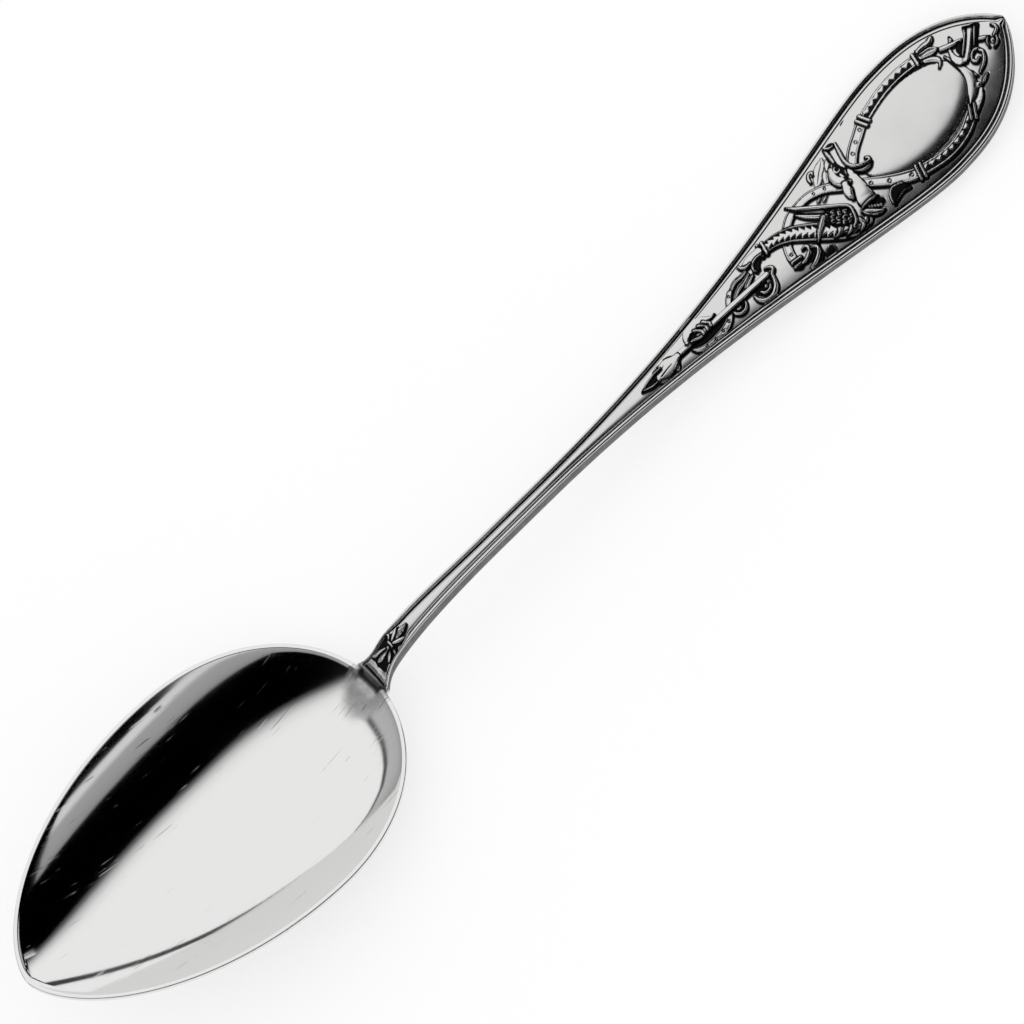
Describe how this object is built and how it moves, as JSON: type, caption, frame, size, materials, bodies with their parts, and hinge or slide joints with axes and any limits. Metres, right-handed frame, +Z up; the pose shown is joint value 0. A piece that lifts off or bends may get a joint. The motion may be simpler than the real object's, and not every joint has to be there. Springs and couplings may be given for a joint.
{
  "type": "dinner spoon",
  "caption": "Silver dinner spoon with a pointed egg-shaped bowl, a slender stem and a leaf-shaped handle end with a chased dragon and an oval shield.",
  "frame": {"origin": "centre of the bounding box, on the table that the spoon rests on", "axes": "+X from the bowl to the tip of the handle, +Y across the bowl, +Z up, out of the hollow of the bowl"},
  "size_m": [0.2166, 0.0464, 0.021],
  "materials": {
    "silver": "polished silver, dark in the recesses of the relief"
  },
  "bodies": {
    "root": {"spoon": "silver"}
  },
  "joints": []
}
